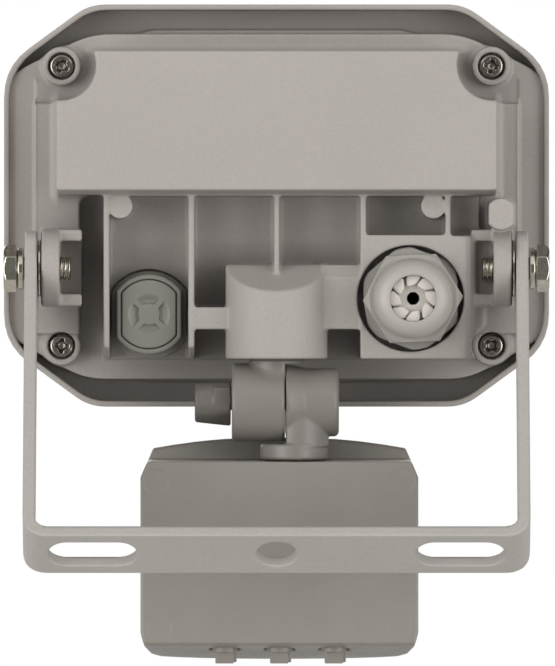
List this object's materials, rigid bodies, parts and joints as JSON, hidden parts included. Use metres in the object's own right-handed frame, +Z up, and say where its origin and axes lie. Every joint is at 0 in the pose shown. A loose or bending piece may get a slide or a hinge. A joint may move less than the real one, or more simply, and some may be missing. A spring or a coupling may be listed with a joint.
{
  "type": "floodlight with sensor head",
  "caption": "Wall floodlight in a U bracket with a jointed motion detector and camera head under it, cable gland and vent plug at the back.",
  "frame": {"origin": "centre of the middle hole of the bracket, on the outer face that lies against the wall", "axes": "+Z up with the lamp upright, lamp faces -Y, bracket leans back towards +Y, +X is to the left of somebody who looks at the back"},
  "size_m": [0.1332, 0.0916, 0.1608],
  "materials": {
    "bracket": "warm grey fine-textured powder coat on 3 mm steel strip",
    "casting": "warm grey fine-textured powder coat on die-cast aluminium",
    "steel": "bright zinc-plated steel",
    "arm_plastic": "smooth satin warm grey moulded plastic",
    "head_plastic": "smooth satin warm grey moulded plastic",
    "grey_plastic": "satin light grey moulded plastic",
    "gland_rubber": "soft grey rubber, matt",
    "black_rubber": "black rubber, matt",
    "front_glass": "clear toughened glass",
    "lens_plastic": "milky ribbed polyethylene lens",
    "window": "dark tinted glossy window",
    "camera": "black lens barrel with a coated glass front",
    "reflector": "bright vacuum-metallised reflector",
    "board_green": "green circuit board",
    "board_white": "white metal-core board and white nylon terminals",
    "phosphor": "yellow phosphor of the LED array",
    "pad": "soft thermal pad",
    "ferrite": "dark ferrite core with taped winding",
    "can": "dark blue sleeve and potentiometer cases"
  },
  "bodies": {
    "bracket": {"bracket": "bracket"},
    "pan_arm": {"pan_knuckle": "arm_plastic", "pan_o_ring": "black_rubber"},
    "sensor_head": {"tilt_knuckle": "arm_plastic", "hinge_screw": "steel", "neck_nut": "steel", "head_shell": "head_plastic", "head_back_cover": "head_plastic", "detector_lens": "lens_plastic", "detector_sensor": "steel", "head_board": "board_green", "camera_window": "window", "camera_lens": "camera", "camera_board": "board_green", "light_setting_pot": "can", "time_setting_pot": "can", "range_setting_pot": "can"},
    "clamp_knob": {"clamp_knob": "arm_plastic", "clamp_nut": "steel"},
    "light_knob": {"light_setting_knob": "grey_plastic"},
    "time_knob": {"time_setting_knob": "grey_plastic"},
    "range_knob": {"range_setting_knob": "grey_plastic"},
    "housing": {"rear_casting": "casting", "front_frame": "casting", "pivot_bolt_left": "steel", "pivot_bolt_right": "steel", "spring_washer_left": "steel", "spring_washer_right": "steel", "flat_washer_left": "steel", "flat_washer_right": "steel", "corner_screw_top_left": "steel", "corner_screw_top_right": "steel", "corner_screw_bottom_left": "steel", "corner_screw_bottom_right": "steel", "gland_body": "grey_plastic", "gland_lock_nut": "grey_plastic", "gland_cap_nut": "grey_plastic", "vent_plug": "grey_plastic", "vent_cap": "grey_plastic", "gland_seal": "gland_rubber", "glass_gasket": "black_rubber", "vent_o_ring": "black_rubber", "front_glass": "front_glass", "reflector": "reflector", "driver_board": "board_green", "led_board": "board_white", "terminal_block": "board_white", "led_array": "phosphor", "thermal_pad": "pad", "driver_transformer": "ferrite", "driver_capacitor": "can"}
  },
  "joints": [
    {"name": "housing_tilt", "type": "hinge", "parent": "bracket", "child": "housing", "pos_m": [0, -0.05121, 0.06921], "axis": [1, 0, 0], "range_deg": [-140, 2]},
    {"name": "sensor_pan", "type": "hinge", "parent": "housing", "child": "pan_arm", "pos_m": [0, -0.05071, 0.04721], "axis": [0, 0, 1], "range_deg": [-35, 35]},
    {"name": "sensor_tilt", "type": "hinge", "parent": "pan_arm", "child": "sensor_head", "pos_m": [0, -0.05071, 0.03661], "axis": [1, 0, 0], "range_deg": [-15, 15]},
    {"name": "clamp_turn", "type": "hinge", "parent": "pan_arm", "child": "clamp_knob", "pos_m": [0.0155, -0.05071, 0.03661], "axis": [1, 0, 0], "range_deg": [-180, 0]},
    {"name": "light_setting", "type": "hinge", "parent": "sensor_head", "child": "light_knob", "pos_m": [0.0126, -0.05161, -0.02379], "axis": [0, 0, 1], "range_deg": [-135, 135]},
    {"name": "time_setting", "type": "hinge", "parent": "sensor_head", "child": "time_knob", "pos_m": [-0.0007, -0.05161, -0.02379], "axis": [0, 0, 1], "range_deg": [-135, 135]},
    {"name": "range_setting", "type": "hinge", "parent": "sensor_head", "child": "range_knob", "pos_m": [-0.014, -0.05161, -0.02379], "axis": [0, 0, 1], "range_deg": [-135, 135]}
  ]
}
